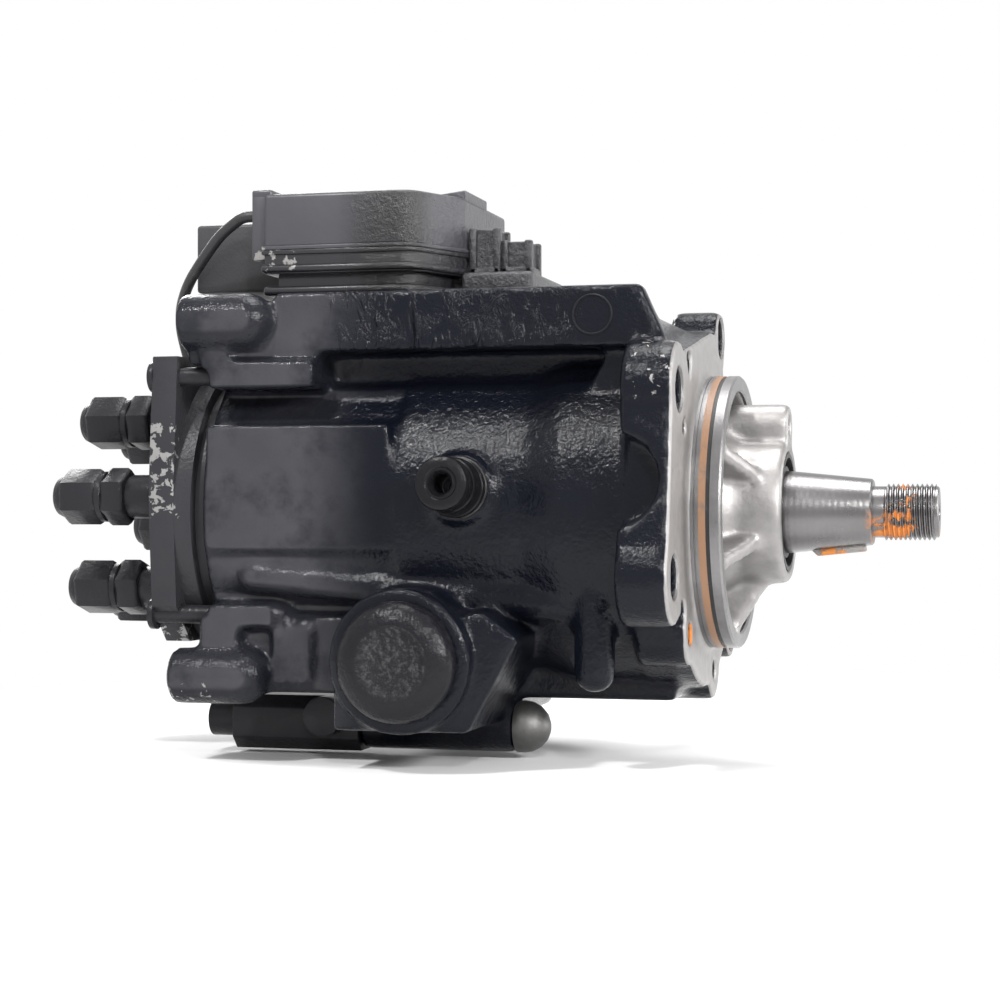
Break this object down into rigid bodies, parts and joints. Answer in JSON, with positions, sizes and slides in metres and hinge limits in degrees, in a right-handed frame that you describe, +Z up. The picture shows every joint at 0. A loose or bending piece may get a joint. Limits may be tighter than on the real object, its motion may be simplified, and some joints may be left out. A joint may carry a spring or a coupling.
{
  "type": "diesel injection pump",
  "caption": "Electronically controlled radial-piston distributor pump with tapered drive shaft, mounting flange, capped delivery fittings and a control unit on top.",
  "frame": {"origin": "centre of the mounting flange's front face, on the drive shaft's axis, where the pilot begins", "axes": "+X along the shaft axis towards its threaded nose, +Z up towards the control unit, -Y the side with the flat pad and the return union"},
  "size_m": [0.2881, 0.152, 0.1845],
  "materials": {
    "black_casting": "cast aluminium, gloss black paint on the body, bare at the flange face, pilot and nose",
    "black_head": "steel head, gloss black paint with chips",
    "copper_ring": "copper-brown sealing ring",
    "black_ring": "black rubber",
    "seal_rubber": "brown rubber lip seal",
    "bearing_bronze": "bronze-lined bush",
    "shaft_steel": "turned steel, light rust on the thread",
    "inner_steel": "ground steel",
    "spring_steel": "spring steel",
    "sensor_plastic": "moulded sensor carrier",
    "black_steel": "steel, gloss black paint",
    "black_cap": "steel cap nuts, satin black",
    "coil": "resin-cast winding",
    "bare_zinc": "zinc-plated steel",
    "washer": "aluminium sealing washers",
    "unit_casting": "cast aluminium, gloss black paint",
    "unit_lid": "pressed aluminium lid, gloss black paint",
    "screw_steel": "steel",
    "board": "glass-fibre circuit board",
    "connector_plastic": "moulded black plastic",
    "pin_brass": "tinned brass",
    "lead_rubber": "black jacketed lead"
  },
  "bodies": {
    "housing": {"connector_housing": "connector_plastic", "connector_pins": "pin_brass", "control_board": "board", "control_unit_base": "unit_casting", "control_unit_cover": "unit_lid", "control_unit_screws": "screw_steel", "cover_seals": "black_ring", "delivery_caps": "black_cap", "delivery_holders": "black_steel", "delivery_springs": "spring_steel", "distributor_barrel": "inner_steel", "distributor_head": "black_head", "front_bearing": "bearing_bronze", "harness_cable": "lead_rubber", "inlet_union": "black_steel", "pilot_backup_ring": "black_ring", "pilot_seal_ring": "copper_ring", "plate_bolts": "black_steel", "pressure_valve_plug": "bare_zinc", "pressure_valve_spring": "spring_steel", "pump_housing": "black_casting", "rear_bearing": "bearing_bronze", "return_union": "black_steel", "return_valve_spring": "spring_steel", "shaft_seal": "seal_rubber", "solenoid_body": "black_steel", "solenoid_coil": "coil", "timing_cover_far": "black_steel", "timing_cover_near": "black_steel", "timing_spring": "spring_steel", "timing_valve_body": "black_steel", "union_washers": "washer", "vane_port_plate": "inner_steel", "vane_ring": "inner_steel"},
    "rotor": {"drive_shaft": "shaft_steel", "shaft_key": "shaft_steel", "vane_rotor": "inner_steel", "vanes": "inner_steel", "increment_ring": "inner_steel", "distributor_rotor": "inner_steel", "radial_pistons": "inner_steel", "roller_shoes": "inner_steel", "rollers": "inner_steel"},
    "cam": {"cam_ring": "inner_steel", "cam_ring_pin": "inner_steel", "rotation_sensor": "sensor_plastic"},
    "timing_piston_body": {"timing_piston": "inner_steel"},
    "timing_needle_body": {"timing_valve_needle": "inner_steel"},
    "solenoid_needle_body": {"solenoid_needle": "inner_steel"},
    "pressure_piston_body": {"pressure_valve_piston": "inner_steel"},
    "return_ball_body": {"return_valve_ball": "inner_steel"},
    "delivery_valve_body_1": {"delivery_valve_1": "inner_steel"},
    "delivery_valve_body_2": {"delivery_valve_2": "inner_steel"},
    "delivery_valve_body_3": {"delivery_valve_3": "inner_steel"},
    "delivery_valve_body_4": {"delivery_valve_4": "inner_steel"},
    "delivery_valve_body_5": {"delivery_valve_5": "inner_steel"},
    "delivery_valve_body_6": {"delivery_valve_6": "inner_steel"}
  },
  "joints": [
    {"name": "shaft_spin", "type": "hinge", "parent": "housing", "child": "rotor", "pos_m": [0, 0, 0], "axis": [1, 0, 0], "continuous": true},
    {"name": "cam_ring_turn", "type": "hinge", "parent": "housing", "child": "cam", "pos_m": [-0.085, 0, 0], "axis": [1, 0, 0], "range_deg": [0, 12]},
    {"name": "timing_piston_slide", "type": "slide", "parent": "housing", "child": "timing_piston_body", "axis": [0, 1, 0], "range_m": [0, 0.0097], "deforming": ["timing_spring"]},
    {"name": "timing_needle_slide", "type": "slide", "parent": "housing", "child": "timing_needle_body", "axis": [-1, 0, 0], "range_m": [0, 0.001]},
    {"name": "solenoid_needle_slide", "type": "slide", "parent": "housing", "child": "solenoid_needle_body", "axis": [-1, 0, 0], "range_m": [0, 0.0005]},
    {"name": "pressure_piston_slide", "type": "slide", "parent": "housing", "child": "pressure_piston_body", "axis": [1, 0, 0], "range_m": [0, 0.0018]},
    {"name": "return_ball_slide", "type": "slide", "parent": "housing", "child": "return_ball_body", "axis": [0, -0.9976, 0.0698], "range_m": [0, 0.0015]},
    {"name": "delivery_valve_slide_1", "type": "slide", "parent": "housing", "child": "delivery_valve_body_1", "axis": [-1, 0, 0], "range_m": [0, 0.0008]},
    {"name": "delivery_valve_slide_2", "type": "slide", "parent": "housing", "child": "delivery_valve_body_2", "axis": [-1, 0, 0], "range_m": [0, 0.0008]},
    {"name": "delivery_valve_slide_3", "type": "slide", "parent": "housing", "child": "delivery_valve_body_3", "axis": [-1, 0, 0], "range_m": [0, 0.0008]},
    {"name": "delivery_valve_slide_4", "type": "slide", "parent": "housing", "child": "delivery_valve_body_4", "axis": [-1, 0, 0], "range_m": [0, 0.0008]},
    {"name": "delivery_valve_slide_5", "type": "slide", "parent": "housing", "child": "delivery_valve_body_5", "axis": [-1, 0, 0], "range_m": [0, 0.0008]},
    {"name": "delivery_valve_slide_6", "type": "slide", "parent": "housing", "child": "delivery_valve_body_6", "axis": [-1, 0, 0], "range_m": [0, 0.0008]}
  ],
  "couplings": [
    {"joint": "timing_piston_slide", "follows": "cam_ring_turn", "m_per_rad": 0.045816}
  ]
}
